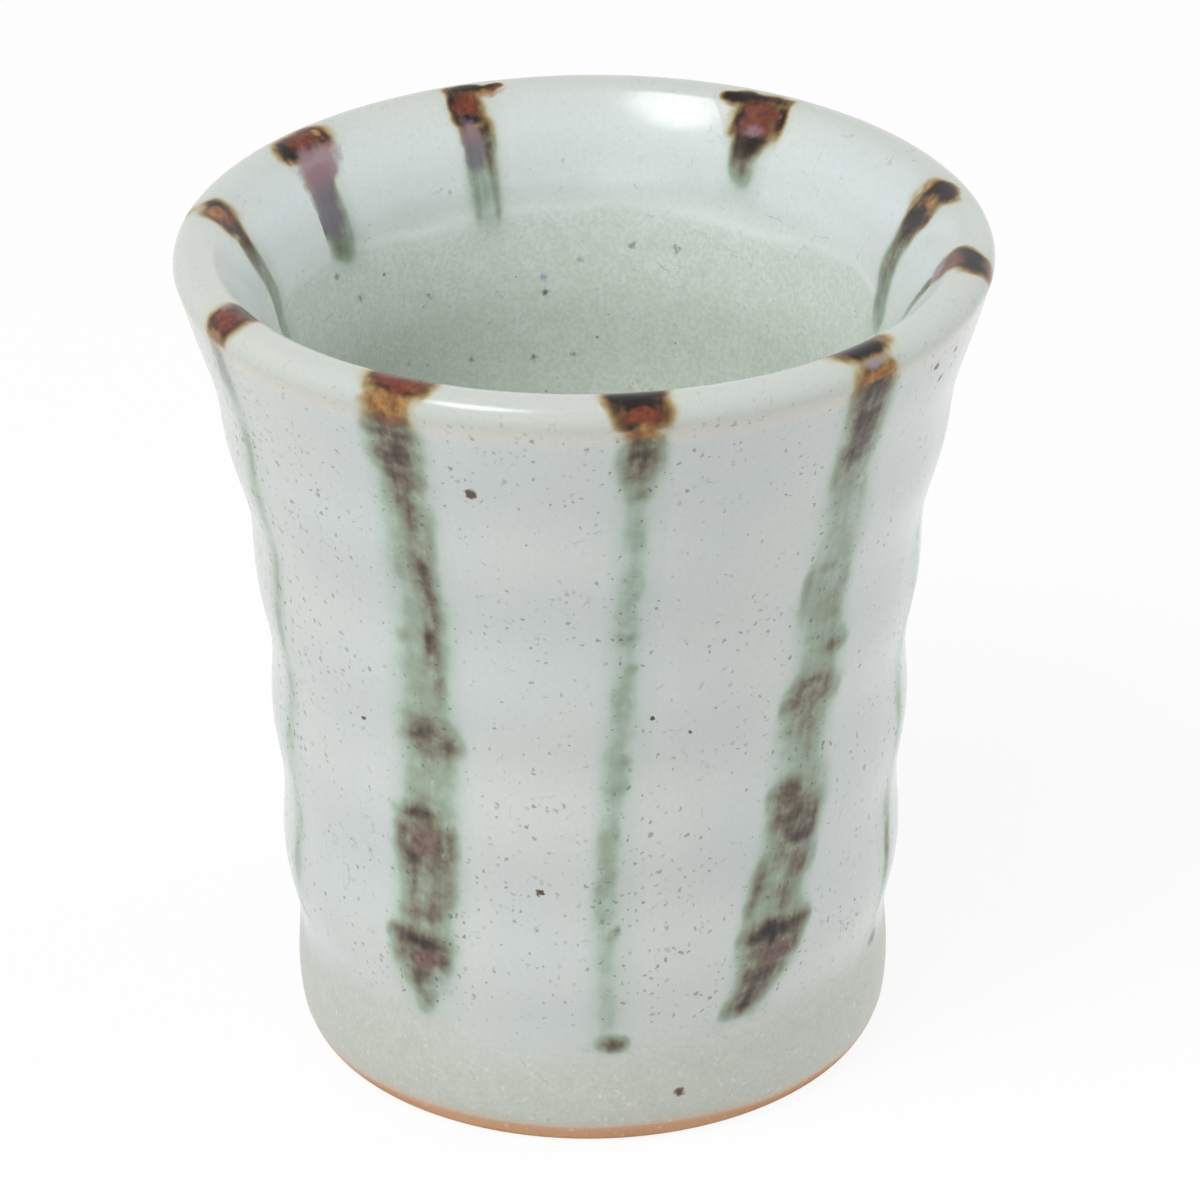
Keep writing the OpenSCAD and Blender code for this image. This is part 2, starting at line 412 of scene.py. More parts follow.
# Where the second coat lies, and the milky bluish white that it fires to
sway = calc(fired, "MULTIPLY", calc(fired, "SUBTRACT", mottle(fired, place, 0.06), 0.5), 5.0)
swayed = calc(fired, "ADD", down, sway)
low_edge = fade(fired, swayed, dip_out_down + 3.2, dip_out_down - 4.2)
deep_edge = fade(fired, swayed, dip_in_down - 1.6, dip_in_down + 1.2)
thick = calc(fired, "MULTIPLY", low_edge, deep_edge)
bare_coat = calc(fired, "SUBTRACT", 1.0, thick)
cloud = mottle(fired, place, 0.045, 3)
milk = blend(fired, fade(fired, cloud, 0.35, 0.65), colour(195, 201, 200), colour(200, 204, 200))

# The thin coat: grey-green inside, and sandy towards the foot outside. Inside, both coats are painted
# lighter than the same glazes outside, as painted light for the inside of the cup.
inner = fade(fired, down, 0.0, -6.0)
bare_outside = calc(fired, "MULTIPLY", bare_coat, calc(fired, "SUBTRACT", 1.0, inner))
mist = mottle(fired, place, 0.5, 3)
sand = blend(fired, fade(fired, mist, 0.35, 0.65), colour(185, 190, 181), colour(191, 193, 184))
sand = blend(fired, fade(fired, low_end, 0.0, 1.0, 0.0, 0.6), sand, colour(200, 176, 148))
sand = blend(fired, fade(fired, low_end, 0.7, 1.0), sand, colour(196, 140, 98))
sage_painted_lighter = blend(fired, fade(fired, mist, 0.35, 0.65), colour(211, 220, 211), colour(217, 224, 216))
thin = blend(fired, inner, sand, sage_painted_lighter)
# Painted light: the milky coat is painted lighter inside the cup
milk = blend(fired, calc(fired, "MULTIPLY", inner, 0.7), milk, colour(209, 219, 218))
# Painted light: a band just above the second coat's inner edge is painted lighter, near white at the edge
painted_light_above_dip = fade(fired, swayed, dip_in_down + 6.0, dip_in_down + 1.0, 0.0, 0.7)
milk = blend(fired, calc(fired, "MULTIPLY", inner, painted_light_above_dip), milk, colour(232, 238, 235))
coat = blend(fired, thick, thin, milk)

# The lip, where the glaze runs thin and warm on the outer edge
edge = fade(fired, calc(fired, "ABSOLUTE", calc(fired, "SUBTRACT", down, 1.2)), 3.2, 1.6)
coat = blend(fired, calc(fired, "MULTIPLY", edge, 0.75), coat, colour(186, 192, 184))
brim = fade(fired, calc(fired, "ABSOLUTE", calc(fired, "SUBTRACT", down, 3.8)), 1.7, 0.2)
coat = blend(fired, calc(fired, "MULTIPLY", brim, 0.4), coat, colour(214, 205, 192))

# Flecks of iron ash: smudges of all sizes, thicker in some places than in others
crowd = mottle(fired, place, 0.05, 2)
stir = put(fired, "TexNoise", {"Vector": place, "Scale": 1.7, "Detail": 2.0}).outputs["Color"]
stirred = put(fired, "VectorMath", {0: stir, 1: (0.9, 0.9, 0.9), 2: place},
              operation="MULTIPLY_ADD").outputs[0]


def flecks(where, scale, fewest, most, size):
    """Scattered soft spots: how many there are follows the crowd, and each has its own size and strength."""
    cell = put(fired, "TexVoronoi", {"Vector": where, "Scale": scale})
    seeds = put(fired, "SeparateColor", {0: cell.outputs["Color"]}).outputs
    cut = fade(fired, crowd, 0.35, 0.65, fewest, most)
    reach = calc(fired, "MULTIPLY", calc(fired, "SUBTRACT", seeds[0], cut), size)
    spot = fade(fired, calc(fired, "SUBTRACT", cell.outputs["Distance"], reach), 0.0, -0.16)
    return calc(fired, "MULTIPLY", spot, fade(fired, seeds[1], 0.0, 1.0, 0.3, 1.0))


on_milk = calc(fired, "MULTIPLY", fade(fired, down, 0.5, 5.0, 0.12, 1.0),
               fade(fired, down, dip_out_down + 1.0, dip_out_down - 7.0, 0.15, 1.0))
fine = calc(fired, "MULTIPLY", flecks(stirred, 1.35, 0.42, 0.2, 0.62), 0.62)
coarse = calc(fired, "MULTIPLY", flecks(stirred, 0.75, 0.74, 0.58, 0.6), 0.65)
ash = calc(fired, "MULTIPLY", calc(fired, "MAXIMUM", fine, coarse), on_milk)
below_dip = fade(fired, down, -6.0, -14.0, 0.0, 0.8)
dots = calc(fired, "MULTIPLY", flecks(place, 0.7, 0.62, 0.48, 0.48), below_dip)
speck = calc(fired, "MAXIMUM", ash, dots)
coat = blend(fired, speck, coat, colour(92, 100, 88))

# A fine grain, stronger in the thin coat
grain_share = fade(fired, bare_coat, 0.0, 1.0, 0.07, 0.22)
grain = calc(fired, "MULTIPLY", fade(fired, mottle(fired, place, 2.0, 3), 0.35, 0.65), grain_share)
coat = blend(fired, grain, coat, colour(150, 160, 150))

# Short hair cracks
web = put(fired, "TexVoronoi", {"Vector": stirred, "Scale": 0.16}, feature="DISTANCE_TO_EDGE")
crack = fade(fired, web.outputs["Distance"], 0.016, 0.004)
crack = calc(fired, "MULTIPLY", crack, fade(fired, mist, 0.54, 0.66))
coat = blend(fired, calc(fired, "MULTIPLY", crack, 0.28), coat, colour(124, 132, 124))

# Tiny white crystals in the thin coat above the foot
crystal = put(fired, "TexVoronoi", {"Vector": stirred, "Scale": 1.5})
crystal_seed = put(fired, "SeparateColor", {0: crystal.outputs["Color"]}).outputs[1]
crystal_reach = calc(fired, "MULTIPLY", calc(fired, "SUBTRACT", crystal_seed, 0.25), 0.62)
glint = fade(fired, calc(fired, "SUBTRACT", crystal.outputs["Distance"], crystal_reach), 0.0, -0.25)
glint = calc(fired, "MULTIPLY", glint, bare_outside)
coat = blend(fired, calc(fired, "MULTIPLY", glint, 0.34), coat, colour(220, 222, 214))

# The single iron spots: with a warm brown ring outside, and dark green inside
burnt = {1: 0.0, -1: 0.0}
ragged = calc(fired, "MULTIPLY_ADD", mottle(fired, place, 1.9, 3), 1.0, -0.5)


def ragged_gap(angle, z, side, lift):
    """How far a place is from a spot on the wall, made uneven as the rim of a burn is."""
    turn = math.radians(angle)
    r, height = on_wall(down_at(z, side), lift)
    spot_at = (r * math.sin(turn), -r * math.cos(turn), height)
    gap = put(fired, "VectorMath", {0: place, 1: spot_at}, operation="DISTANCE").outputs["Value"]
    return calc(fired, "ADD", gap, ragged)


for angle, z, radius, side in iron_spots:
    gap = ragged_gap(angle, z, side, base_t + dip_t)
    spot = fade(fired, gap, radius * 1.1, radius * 0.3)
    burnt[side] = calc(fired, "MAXIMUM", spot, burnt[side])
coat = blend(fired, fade(fired, burnt[1], 0.0, 0.5), coat, colour(142, 124, 104))
coat = blend(fired, fade(fired, burnt[1], 0.3, 0.9), coat, colour(80, 70, 61))
coat = blend(fired, calc(fired, "MULTIPLY", burnt[-1], 0.85), coat, colour(74, 80, 64))

# One grain of cobalt that fell into the cup
cobalt = fade(fired, ragged_gap(-171.5, 71.1, -1, base_t), 0.6, 0.0, 0.0, 0.65)
coat = blend(fired, cobalt, coat, colour(112, 132, 190))

# Its fine relief in millimetres, with a bead where the second coat ends inside, and its gloss
skin = calc(fired, "MULTIPLY", mottle(fired, place, 0.35, 2), 0.03)
skin = calc(fired, "MULTIPLY_ADD", mist, calc(fired, "MULTIPLY", bare_coat, 0.03), skin)
skin = calc(fired, "MULTIPLY_ADD", speck, -0.03, skin)
from_deep = calc(fired, "ABSOLUTE", calc(fired, "SUBTRACT", swayed, dip_in_down + 0.4))
skin = calc(fired, "MULTIPLY_ADD", fade(fired, from_deep, 1.1, 0.0), 0.028, skin)
skin = calc(fired, "MULTIPLY_ADD", glint, 0.02, skin)
gloss = fade(fired, thick, 0.0, 1.0, 0.36, 0.17)
gloss = calc(fired, "MULTIPLY_ADD", speck, 0.2, gloss)
out = fired.nodes.new("NodeGroupOutput")
for index, socket in enumerate((coat, gloss, skin, speck)):
    fired.links.new(socket, out.inputs[index])


def glaze_surface(tree, place):
    """Places the fired glaze in a material."""
    down = put(tree, "Attribute", {}, attribute_name="down").outputs["Fac"]
    edge = put(tree, "Attribute", {}, attribute_name="edge").outputs["Fac"]
    return put(tree, "Group", {"Place": place, "Down": down, "Edge": edge}, node_tree=fired)


def glaze_material(name):
    """The finish of a coat, which shows the fired glaze alone."""
    material, tree, place = new_material(name)
    glaze = glaze_surface(tree, place).outputs
    finish_material(tree, glaze["Color"], glaze["Roughness"], glaze["Height"])
    return material


first_coat = coat_mesh(downs, downs[-2:0:-6], base_coat_lift)
finish_piece("first_coat", first_coat, glaze_material("thin_glaze"), "base_glaze")


# The second coat: a thicker, glossy, milky glaze from dipping the cup rim down into the bucket.
# Air held in the cup kept it from running far down the inside, so it ends there in a level line.
dip_low = dip_out_down + 3.5
dip_deep = dip_in_down - 3.5
film_least = 0.004
film_under = 0.08
dip_tops = [d for d in downs if dip_deep + 0.1 < d < dip_low - 0.1]
dip_tops = [dip_low] + dip_tops + [dip_deep]


def dip_coat_lift(angle, down, top):
    film = dip_lift(angle, down) + film_least
    return base_lift(angle, down) + film * top - film_under * (1 - top)


second_coat = coat_mesh(dip_tops, dip_tops[-2:0:-5], dip_coat_lift)
finish_piece("second_coat", second_coat, glaze_material("thick_glaze"), "dip_glaze")


# The strokes: ten licks of iron pigment, each brushed from inside over the lip and down the outside.
# Iron shows dark where the glaze is thin, on the lip and on the throwing rings, with rusty hearts.
# Where the glaze is thick it melts into a soft sea green.
stroke_t = 0.1
proud = 0.02
narrow_w = 3.8
wide_w = 5.6
spread_w = 2.6
usual_lean = 5
usual_end_z = 14
usual_depth = 14
halo_w = 2.3
stroke_top_z = cup_h + 0.24

# Angle at the lip, wide or not, how late it bends, and its lean, lower end and depth as shares
strokes = [
    (8, False, 1, 0.7, 0.88, 0.9),
    (43, True, 3, 2.3, 1, 1.1),
    (78, False, 1.6, 1.2, 0.88, 0.9),
    (104, True, 1.5, 1.2, 1.05, 1.15),
    (149, True, 2, 1.4, 1, 0.65),
    (199, False, 1.5, 1, 1.15, 1),
    (231, True, 2, 1.6, 1, 0.95),
    (260, False, 1.5, 1, 1.05, 1.1),
    (299, False, 1, 1.4, 1.15, 1),
    (333, True, 2.2, 1, 1, 1.1),
]

# Where the brush left more iron on the wall: height, place across, half height, half width, how much
dabs = {
    1: [(84.8, 0.1, 2.8, 2.1, 0.5), (80.3, 0.1, 0.9, 1.0, 0.24), (75, 0.4, 2.5, 1.0, 0.04),
        (70, 0.5, 2.0, 1.0, 0.06), (62.6, 0.1, 0.6, 1.0, 0.16), (58.4, 0.7, 0.6, 0.7, 0.12),
        (55, 0.1, 1.2, 0.8, 0.12), (47.6, 0.7, 1.0, 0.7, 0.12), (44, 0.6, 1.2, 0.8, 0.1),
        (34, 0.6, 0.9, 0.7, 0.08), (27, 1.2, 0.4, 0.4, 0.3), (26, 0.5, 1.0, 0.7, 0.1),
        (12.4, 0.9, 0.9, 1.7, 0.66)],
    2: [(62, 0, 5.0, 3.0, 0.06), (50, 0, 5.0, 3.6, 0.14), (36.6, 0, 3.8, 3.4, 0.28),
        (29.5, 0, 4.0, 3.2, 0.14), (22.8, 0.2, 2.2, 4.2, 0.26), (18.4, -0.4, 3.2, 2.6, 0.2),
        (85, -0.2, 3.6, 2.5, 0.56), (79.8, -0.4, 2.6, 1.9, 0.5), (76.6, -1.8, 1.2, 0.9, 0.2),
        (66.2, -0.8, 0.8, 1.8, 0.14), (65, -3.2, 2.2, 0.7, 0.2), (62, -2.9, 2.4, 0.6, 0.1),
        (63.5, 2.4, 1.6, 0.7, 0.12), (60, 1.6, 2.6, 0.8, 0.08), (55.6, 2.2, 1.0, 1.5, 0.32),
        (57, 3.0, 0.7, 0.6, 0.15), (52.2, -0.8, 1.0, 1.9, 0.3), (50.8, -2.6, 1.4, 1.2, 0.36),
        (51, 1.6, 1.3, 1.4, 0.33), (50, 3.4, 1.2, 0.8, 0.2), (50.6, -4.0, 1.2, 0.7, 0.2),
        (45, 0.8, 2.6, 0.6, 0.12), (47, -2.0, 1.2, 0.8, 0.12), (39.6, -2.2, 1.2, 1.8, 0.56),
        (36.6, -2.4, 1.8, 0.9, 0.4), (36, 2.3, 1.8, 0.8, 0.38), (34, 1.0, 0.9, 1.7, 0.6),
        (38.2, 0.6, 0.8, 1.2, 0.2), (36.2, -0.4, 1.0, 1.2, 0.2), (30, -3.0, 2.4, 0.8, 0.3),
        (30.4, 2.6, 1.8, 1.5, 0.3), (27, -3.2, 1.6, 0.7, 0.25), (26.4, 1.2, 1.4, 1.2, 0.15),
        (23.4, 0.3, 1.1, 4.2, 0.55), (23.2, 1.8, 0.8, 1.8, 0.15), (21, 3.4, 1.0, 0.8, 0.4),
        (21, -2.8, 1.0, 1.4, 0.16), (18.4, 0.8, 1.5, 1.8, 0.3), (18, -1.6, 1.3, 1.0, 0.25),
        (15, -1.1, 1.5, 2.0, 0.62), (12.7, 0.8, 0.8, 0.8, 0.1)],
    3: [(84.6, 0, 3.0, 1.6, 0.35), (60, 0.3, 0.9, 1.1, 0.16), (40, 0, 3.0, 1.0, 0.06),
        (24, 0, 3.4, 1.0, 0.35), (12.2, 0.6, 0.8, 1.3, 0.4)],
    4: [(50, 0, 4.0, 3.2, 0.15), (36.6, 0.4, 3.6, 3.0, 0.3), (21.6, 0, 2.4, 3.3, 0.28),
        (84, 0, 3.4, 2.3, 0.42), (72, 0.8, 5.0, 0.9, 0.28), (69, -1.0, 1.2, 1.8, 0.16),
        (53.5, 0.4, 1.1, 2.4, 0.32), (50.6, -2.2, 1.6, 1.0, 0.24), (50, 2.2, 1.5, 1.0, 0.24),
        (38.6, 0.6, 1.0, 2.0, 0.4), (35.4, 2.2, 1.6, 0.8, 0.3), (30, -2.2, 2.4, 0.8, 0.22),
        (22.6, 0, 1.1, 3.4, 0.42), (17.6, 0.4, 1.4, 1.4, 0.24)],
    5: [(66, 0.6, 8.0, 1.8, 0.12), (51, 0, 3.6, 3.2, 0.15), (37, -0.2, 3.6, 3.0, 0.3),
        (22, 0, 2.4, 3.3, 0.28), (83.6, 0, 4.0, 2.4, 0.42), (70, 0.9, 6.0, 0.9, 0.3),
        (54, -0.6, 1.0, 2.6, 0.32),
        (51, 2.0, 1.6, 1.0, 0.28), (39.6, -0.8, 0.9, 2.2, 0.42), (36, 2.2, 1.8, 0.9, 0.3),
        (30, 2.4, 2.4, 0.7, 0.2), (23.6, 0.4, 1.0, 3.4, 0.42), (15.6, 0, 1.0, 1.6, 0.4)],
    6: [(84.6, 0, 2.8, 1.9, 0.45), (54, 0, 2.6, 1.0, 0.06), (38, 0, 2.6, 1.0, 0.08),
        (17, 0, 0.8, 1.3, 0.5)],
    7: [(68, -0.6, 8.0, 1.8, 0.12), (50.6, 0, 3.4, 3.2, 0.15), (36.6, 0, 3.6, 3.0, 0.3),
        (21.4, 0, 2.4, 3.3, 0.28), (84, 0, 3.6, 2.4, 0.44), (70, -0.7, 6.0, 0.9, 0.3),
        (52.8, 0.8, 1.0, 2.5, 0.34),
        (50, -2.2, 1.5, 1.0, 0.24), (38.8, 0.4, 0.9, 2.2, 0.42), (36, -2.4, 1.8, 0.8, 0.3),
        (29.5, 2.2, 2.4, 0.8, 0.22), (22.8, -0.2, 1.0, 3.4, 0.42), (16.4, 0.4, 1.2, 1.5, 0.3)],
    8: [(84.6, 0, 2.8, 1.9, 0.38), (62, 0, 0.8, 1.2, 0.16), (37, 0, 3.0, 1.0, 0.08),
        (15.6, 0.4, 0.8, 1.3, 0.5)],
    9: [(84, 0, 3.2, 1.3, 0.08), (74, 0.3, 3.0, 0.8, 0.08), (53, 0, 3.0, 1.0, 0.06),
        (16.8, 0, 0.8, 1.2, 0.35)],
    10: [(80.5, 0, 5.0, 2.6, 0.1), (66, 1.0, 9.0, 1.8, 0.1), (48, 0, 3.0, 3.2, 0.16),
         (36, -0.2, 3.8, 3.0, 0.32), (29, 0, 4.0, 2.8, 0.14), (21.6, -0.3, 2.4, 3.3, 0.32),
         (87.6, -0.2, 1.2, 2.4, 0.2), (85.9, -0.2, 0.7, 2.6, 0.34), (84, 0, 2.0, 2.8, 0.36),
         (80.5, -0.4, 3.2, 1.3, 0.24),
         (80.5, 2.0, 1.5, 0.8, 0.1), (75.5, 0.5, 3.0, 1.2, 0.22), (69.5, 1.3, 3.5, 1.0, 0.36),
         (65, 1.2, 3.0, 0.9, 0.26), (60.2, 1.1, 2.8, 0.9, 0.4), (60, -2.2, 0.8, 0.7, 0.2),
         (55, 2.0, 2.0, 1.0, 0.15), (50.6, 0.8, 0.8, 1.4, 0.1), (48.3, -1.0, 1.3, 1.7, 0.36),
         (48, 2.6, 1.5, 1.1, 0.38), (49.2, 0.8, 0.9, 1.2, 0.25), (45.5, 0, 1.6, 0.6, 0.15),
         (45, 2.2, 1.6, 0.6, 0.1), (38.9, -1.6, 0.8, 1.8, 0.6), (35.6, -3.0, 2.2, 0.7, 0.3),
         (35.5, 2.3, 2.2, 1.1, 0.3), (33.4, -1.8, 1.2, 1.0, 0.3), (29.5, -2.0, 3.0, 0.7, 0.22),
         (29, 2.5, 3.0, 0.8, 0.1), (26.2, -1.4, 1.0, 1.4, 0.24), (26, 0.8, 1.2, 1.2, 0.2),
         (23.4, -2.6, 0.9, 1.9, 0.46), (23, 0.6, 1.0, 1.8, 0.4), (20.8, 2.4, 1.2, 0.8, 0.3),
         (20.8, -3.0, 1.0, 0.8, 0.1), (18.3, -0.4, 1.4, 1.2, 0.25), (15.6, 0.2, 2.4, 1.1, 0.28)],
}

# The rusty hearts of the heaviest dabs, in the same order
hearts = {
    2: [(20.7, 1.1, 1.3, 2.0, 1.0), (36.4, 1.2, 1.2, 0.9, 0.45)],
    4: [(36.4, 0.3, 1.6, 1.7, 1.0)],
    5: [(37.2, -0.5, 1.8, 1.8, 1.0), (20.8, -0.2, 1.3, 1.9, 1.0)],
    7: [(36.4, 0.1, 1.8, 1.9, 1.0), (20.4, -0.2, 1.2, 1.9, 1.0)],
    10: [(87.2, -0.1, 1.4, 2.6, 0.55), (35.4, -0.4, 2.2, 1.8, 1.0), (20.9, 0.1, 1.4, 2.1, 1.0)],
}

# What the iron did where it lies on the lip and inside it: how far down from the crest (above zero
# outside), place across, half length, half width and how much
lip_black = {
    1: [(0.4, -0.8, 1.0, 2.6, 1.0), (-1.0, -0.4, 1.0, 3.0, 0.8)],
    2: [(-0.2, 0, 1.2, 3.1, 1.1), (-1.6, 0.8, 0.9, 2.6, 0.7)],
    3: [(0.3, -0.3, 0.8, 2.2, 1.0), (-0.6, 2.3, 0.9, 0.9, 0.6), (1.4, 0.2, 0.8, 1.8, 0.5)],
    4: [(-0.6, -0.4, 0.7, 2.4, 1.0), (-2.4, 0.6, 1.7, 2.7, 0.45), (-1.7, 1.4, 0.9, 0.45, 0.6),
        (-3.4, -2.0, 0.9, 0.6, 0.4), (-4.8, 0.6, 1.6, 1.8, 0.3)],
    5: [(-5.8, 0.1, 0.8, 1.3, 0.85), (-2.4, -2.7, 1.5, 0.6, 0.7), (-1.1, 3.2, 0.55, 1.0, 0.8),
        (-0.9, 4.3, 0.35, 0.8, 0.6), (-0.5, 0, 0.4, 2.8, 0.7), (-3.6, 2.5, 1.2, 0.5, 0.45),
        (-7.6, 0.3, 1.5, 1.2, 0.36)],
    6: [(-3.7, 0.4, 0.45, 1.4, 0.9), (-0.4, 0.2, 0.5, 1.9, 0.8), (-0.7, -2.3, 0.4, 1.0, 0.8),
        (-0.6, -3.4, 0.3, 0.8, 0.6), (-2.1, 1.9, 1.2, 0.45, 0.5), (-6.8, -1.0, 2.2, 0.55, 0.5)],
    7: [(-1.3, 2.8, 0.9, 0.7, 0.7), (-1.6, -3.3, 0.7, 0.6, 0.5), (-1.0, 0, 1.3, 3.4, 0.5),
        (-9.8, 2.2, 1.5, 0.5, 0.5), (-12.6, 0.9, 1.1, 1.5, 0.25)],
    8: [(-0.4, -0.8, 0.5, 1.4, 0.6), (-3.6, -0.6, 0.8, 0.9, 0.6), (-1.6, 0, 1.8, 2.2, 0.35)],
    9: [(-0.5, 0.4, 0.5, 1.9, 0.9), (0.8, 0.5, 1.4, 2.2, 0.5)],
    10: [(0, 0.2, 1.4, 3.0, 0.55)],
}
lip_rust = {
    1: [(1.85, -0.1, 0.65, 2.5, 1.1), (-3.0, 0, 1.2, 1.2, 0.8)],
    2: [(-2.9, 0.4, 1.0, 1.8, 0.9)],
    3: [(-1.7, 0.6, 1.4, 2.2, 1.2)],
    5: [(-2.9, 0.1, 2.4, 2.6, 1.0)],
    6: [(-2.1, 0.3, 1.3, 1.6, 1.0)],
    7: [(-0.9, -0.4, 1.1, 3.2, 0.9)],
    8: [(-1.7, 0, 1.7, 2.0, 0.9), (2.4, 0, 0.9, 1.2, 0.7)],
    9: [(0.9, 0.5, 1.3, 2.1, 1.0)],
    10: [(-0.1, 0.2, 1.5, 2.9, 1.1)],
}
lip_amber = {
    1: [(3.2, 0, 0.9, 2.4, 0.8)],
    2: [(2.4, 0, 0.55, 2.9, 0.9), (3.4, 0.9, 0.5, 0.5, 0.6)],
    3: [(2.4, 0, 1.0, 1.7, 0.5)],
    4: [(-2.3, 0, 0.9, 1.9, 0.8), (-1.2, 2.6, 0.7, 0.9, 1.0), (3.4, 0, 1.2, 2.0, 0.6)],
    5: [(3.4, 0, 1.3, 2.2, 0.7)],
    6: [(-1.2, -2.5, 0.55, 1.5, 0.8), (-1.6, 0.4, 0.8, 1.0, 0.35), (3.2, 0, 1.2, 1.7, 0.7)],
    7: [(-0.8, -2.7, 0.6, 0.6, 0.7), (3.4, 0, 1.3, 2.3, 0.8)],
    8: [(-1.0, 0.4, 1.0, 1.5, 0.8), (1.2, 0, 0.6, 1.2, 0.4)],
    9: [(2.3, 0.5, 0.45, 1.9, 0.8)],
    10: [(2.0, -0.2, 0.7, 2.7, 1.0), (3.4, -0.2, 1.0, 2.5, 0.4)],
}
# Plum: the iron's own dark purple, together with a painted sheen, a painted reflection of the lamps on the
# heavy iron near the lip
lip_plum_and_sheen = {
    2: [(1.5, 0.3, 0.55, 2.4, 0.65)],
    3: [(-3.1, 1.3, 1.2, 2.1, 0.9)],
    5: [(-4.4, 0, 0.9, 1.5, 0.6)],
    6: [(-6.7, 0.7, 3.0, 1.2, 1.1)],
    7: [(-3.7, -0.3, 2.0, 3.1, 1.3), (-5.4, 0, 0.9, 1.9, 0.8), (-8.6, 0.8, 3.0, 1.8, 1.1)],
    9: [(0, -1.6, 0.6, 0.9, 0.4), (5.6, 0, 3.4, 1.6, 0.6)],
}

# How dark a stroke's middle and its edges are inside the cup, and how far it strays there
inner_core = {4: 0.5, 5: 0.5, 6: 0.24, 7: 0.5, 8: 0.34}
inner_edge = {4: 0.08, 6: 0.36, 8: 0.16}
inner_stray = {5: 0.3, 7: 0.7, 8: 1.1}


def stroke_mid(row, z):
    """How far sideways, in millimetres, a stroke has been carried at a height."""
    return -usual_lean * row[3] * (1 - z / stroke_top_z) ** row[2]


def stroke_half(row, down, z):
    """Half a stroke's width at a place: it spreads on its way down and narrows inside."""
    wide = row[1]
    full = wide_w + spread_w * (1 - z / stroke_top_z) if wide else narrow_w
    thread = 1.0 if wide else 1 - 0.18 * ease(down, 7, 16)
    inside_taper = 1 - (0.38 if wide else 0.12) * ease(-down, 2, 6.5)
    flare = 1 + (0.15 if wide else 0.3) * math.exp(-((down + 1.2) / 2.4) ** 2)
    tail = 1 - (0.4 if wide else 0.1) * ease(z, usual_end_z * row[4] + 6, usual_end_z * row[4])
    return full / 2 * thread * inside_taper * flare * tail


def drift(across, down, seed):
    """A smooth random push, from about -1 to 1, that bends the edges of what the brush left."""
    place = Vector((across * 0.5, down * 0.4, seed * 3.7))
    return noise.noise(place) + 0.25 * noise.noise(place * 2.6)


def marked(marks, along, across, power):
    """How strongly a place is marked by a list of soft oval marks."""
    return sum(much * math.exp(-abs((along - at) / tall) ** power - abs((across - off) / broad) ** power)
               for at, off, tall, broad, much in marks)


def iron_load(number, row, across, half, down, z, ends, tail):
    """What shows at a place of a stroke, from 0 to 1: its iron, rust, amber, and plum with a painted sheen.
    """
    wide = row[1]
    stray = inner_stray.get(number, 0) * ease(-down, 3, 7)
    if number == 1:
        stray = -0.85 * math.exp(-((z - 33) / 14) ** 2)
    pushed = across - stray + 0.35 * drift(across, down, number)
    pushed_down = down + 0.35 * drift(across + 9, down, number)
    pushed_z = z + down - pushed_down
    side = abs(pushed) / half
    body = math.exp(-(side / 0.95) ** 2.6)
    thin = (0.21 if wide else 0.16) + 0.06 * drift(3, down * 0.6, number)
    dab = marked(dabs[number], pushed_z, pushed, 2) * (1 - ease(abs(pushed) - half, 0.6, 1.8))
    outer = body * thin * tail + dab

    deep = clamp(-down / (usual_depth * row[5]))
    core = inner_core.get(number, 0.4) + inner_edge.get(number, 0) * ease(side, 0.35, 0.8)
    near_lip = (0.25 if number == 5 else 0.06) * ease(-down, 9.5, 5.5)
    inner = math.exp(-(side / 0.95) ** 3) * (core + near_lip) * (1 - 0.5 * ease(deep, 0.5, 1.0))
    inner = inner * ease(tail, 0, 0.6)

    rusty = lip_rust.get(number, [])
    scorched = [(at, off, tall + 0.3, broad + 0.2, much) for at, off, tall, broad, much in rusty]
    black = marked(lip_black[number], pushed_down, pushed, 2.4)
    rust = marked(rusty, pushed_down, pushed, 2.2)
    heart = marked(hearts.get(number, []), pushed_z, pushed, 2.2)
    under = inner if down < 0 else outer
    on_lip = ease(down, 2.2, 1.0) * ease(down, -5, -3)
    load = max(under * (1 - on_lip), 0.55 * clamp(marked(scorched, pushed_down, pushed, 2.4)))
    load = load + (0.85 - load) * clamp(black)
    amber = marked(lip_amber[number], pushed_down, pushed, 2.4)
    plum_and_sheen = marked(lip_plum_and_sheen.get(number, []), pushed_down, pushed, 2.4)
    return [clamp(amount * ends) for amount in (load, rust + heart, amber, plum_and_sheen)]


# The steps along a stroke: those of the coats under it, each halved
fine_downs = [down for here, there in zip(downs, downs[1:]) for down in (here, (here + there) / 2)]


